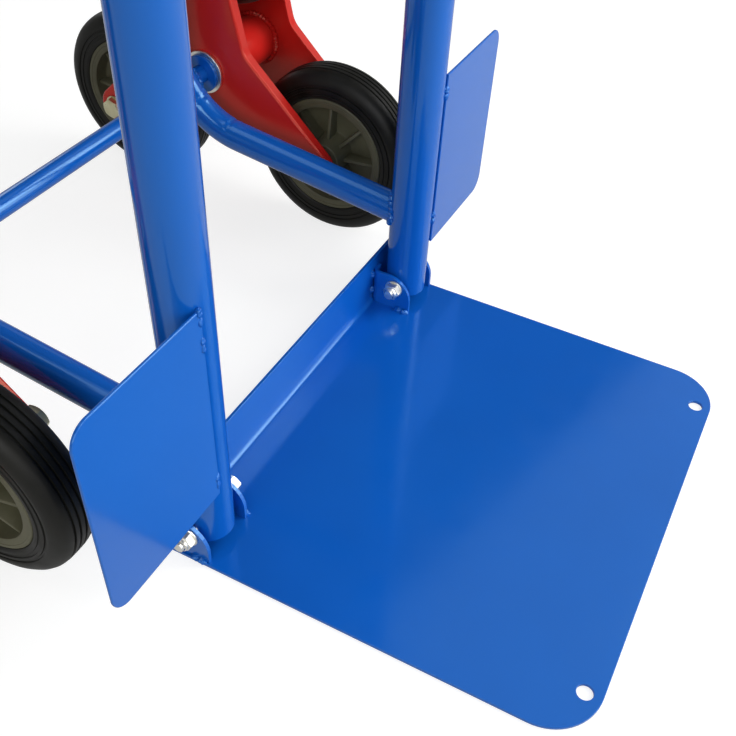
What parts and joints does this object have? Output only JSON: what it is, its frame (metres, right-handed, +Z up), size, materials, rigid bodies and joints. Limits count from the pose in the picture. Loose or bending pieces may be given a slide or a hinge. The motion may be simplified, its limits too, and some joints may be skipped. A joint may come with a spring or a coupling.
{
  "type": "stair climbing hand truck",
  "caption": "Upright tubular hand truck with a folding toe plate, side guards, bent stays and turning wheel stars that roll a load up stairs.",
  "frame": {"origin": "on the floor, in the middle of the truck's width and depth", "axes": "+Z up, -Y is the front where the toe plate points, +X is the right side seen from the front"},
  "size_m": [0.573, 0.6948, 1.1343],
  "materials": {
    "blue_paint": "gloss powder coat",
    "red_paint": "gloss powder coat",
    "zinc": "bright zinc plate",
    "tyre_rubber": "solid rubber, fine moulded rings",
    "rim_plastic": "grey moulded plastic",
    "nylon": "natural nylon",
    "grip_rubber": "ribbed black rubber"
  },
  "bodies": {
    "frame": {"upright_left": "blue_paint", "upright_right": "blue_paint", "grip_left": "grip_rubber", "grip_right": "grip_rubber", "stay_left": "blue_paint", "stay_right": "blue_paint", "wing_left": "blue_paint", "wing_right": "blue_paint", "cross_bar_lower": "blue_paint", "cross_bar_middle": "blue_paint", "cross_bar_upper": "blue_paint", "axle": "blue_paint", "axle_collars": "blue_paint", "axle_washers_inner": "zinc", "axle_washers_outer": "zinc", "split_pins": "zinc"},
    "toe_plate": {"toe_plate": "blue_paint", "hinge_ears": "blue_paint", "hinge_bolts": "zinc", "hinge_nuts": "zinc", "hinge_washers": "zinc"},
    "star_left": {"star_inner_plate_left": "red_paint", "star_outer_plate_left": "red_paint", "star_hub_left": "red_paint", "star_bushes_left": "nylon", "wheel_bolts_left": "zinc", "wheel_nuts_left": "zinc", "wheel_washers_left": "zinc", "wheel_spacers_left": "zinc"},
    "wheel_left_front": {"tyre_left_front": "tyre_rubber", "rim_left_front": "rim_plastic", "wheel_bush_left_front": "nylon"},
    "wheel_left_rear": {"tyre_left_rear": "tyre_rubber", "rim_left_rear": "rim_plastic", "wheel_bush_left_rear": "nylon"},
    "wheel_left_top": {"tyre_left_top": "tyre_rubber", "rim_left_top": "rim_plastic", "wheel_bush_left_top": "nylon"},
    "star_right": {"star_inner_plate_right": "red_paint", "star_outer_plate_right": "red_paint", "star_hub_right": "red_paint", "star_bushes_right": "nylon", "wheel_bolts_right": "zinc", "wheel_nuts_right": "zinc", "wheel_washers_right": "zinc", "wheel_spacers_right": "zinc"},
    "wheel_right_front": {"tyre_right_front": "tyre_rubber", "rim_right_front": "rim_plastic", "wheel_bush_right_front": "nylon"},
    "wheel_right_rear": {"tyre_right_rear": "tyre_rubber", "rim_right_rear": "rim_plastic", "wheel_bush_right_rear": "nylon"},
    "wheel_right_top": {"tyre_right_top": "tyre_rubber", "rim_right_top": "rim_plastic", "wheel_bush_right_top": "nylon"}
  },
  "joints": [
    {"name": "toe_plate_fold", "type": "hinge", "parent": "frame", "child": "toe_plate", "pos_m": [0, -0.06643, 0.024], "axis": [-1, 0, 0], "range_deg": [0, 90]},
    {"name": "star_left_turn", "type": "hinge", "parent": "frame", "child": "star_left", "pos_m": [-0.228, 0.15757, 0.143], "axis": [1, 0, 0], "continuous": true},
    {"name": "wheel_left_front_spin", "type": "hinge", "parent": "star_left", "child": "wheel_left_front", "pos_m": [-0.228, 0.04672, 0.079], "axis": [1, 0, 0], "continuous": true},
    {"name": "wheel_left_rear_spin", "type": "hinge", "parent": "star_left", "child": "wheel_left_rear", "pos_m": [-0.228, 0.26843, 0.079], "axis": [1, 0, 0], "continuous": true},
    {"name": "wheel_left_top_spin", "type": "hinge", "parent": "star_left", "child": "wheel_left_top", "pos_m": [-0.228, 0.15757, 0.271], "axis": [1, 0, 0], "continuous": true},
    {"name": "star_right_turn", "type": "hinge", "parent": "frame", "child": "star_right", "pos_m": [0.228, 0.15757, 0.143], "axis": [1, 0, 0], "continuous": true},
    {"name": "wheel_right_front_spin", "type": "hinge", "parent": "star_right", "child": "wheel_right_front", "pos_m": [0.228, 0.04672, 0.079], "axis": [1, 0, 0], "continuous": true},
    {"name": "wheel_right_rear_spin", "type": "hinge", "parent": "star_right", "child": "wheel_right_rear", "pos_m": [0.228, 0.26843, 0.079], "axis": [1, 0, 0], "continuous": true},
    {"name": "wheel_right_top_spin", "type": "hinge", "parent": "star_right", "child": "wheel_right_top", "pos_m": [0.228, 0.15757, 0.271], "axis": [1, 0, 0], "continuous": true}
  ]
}
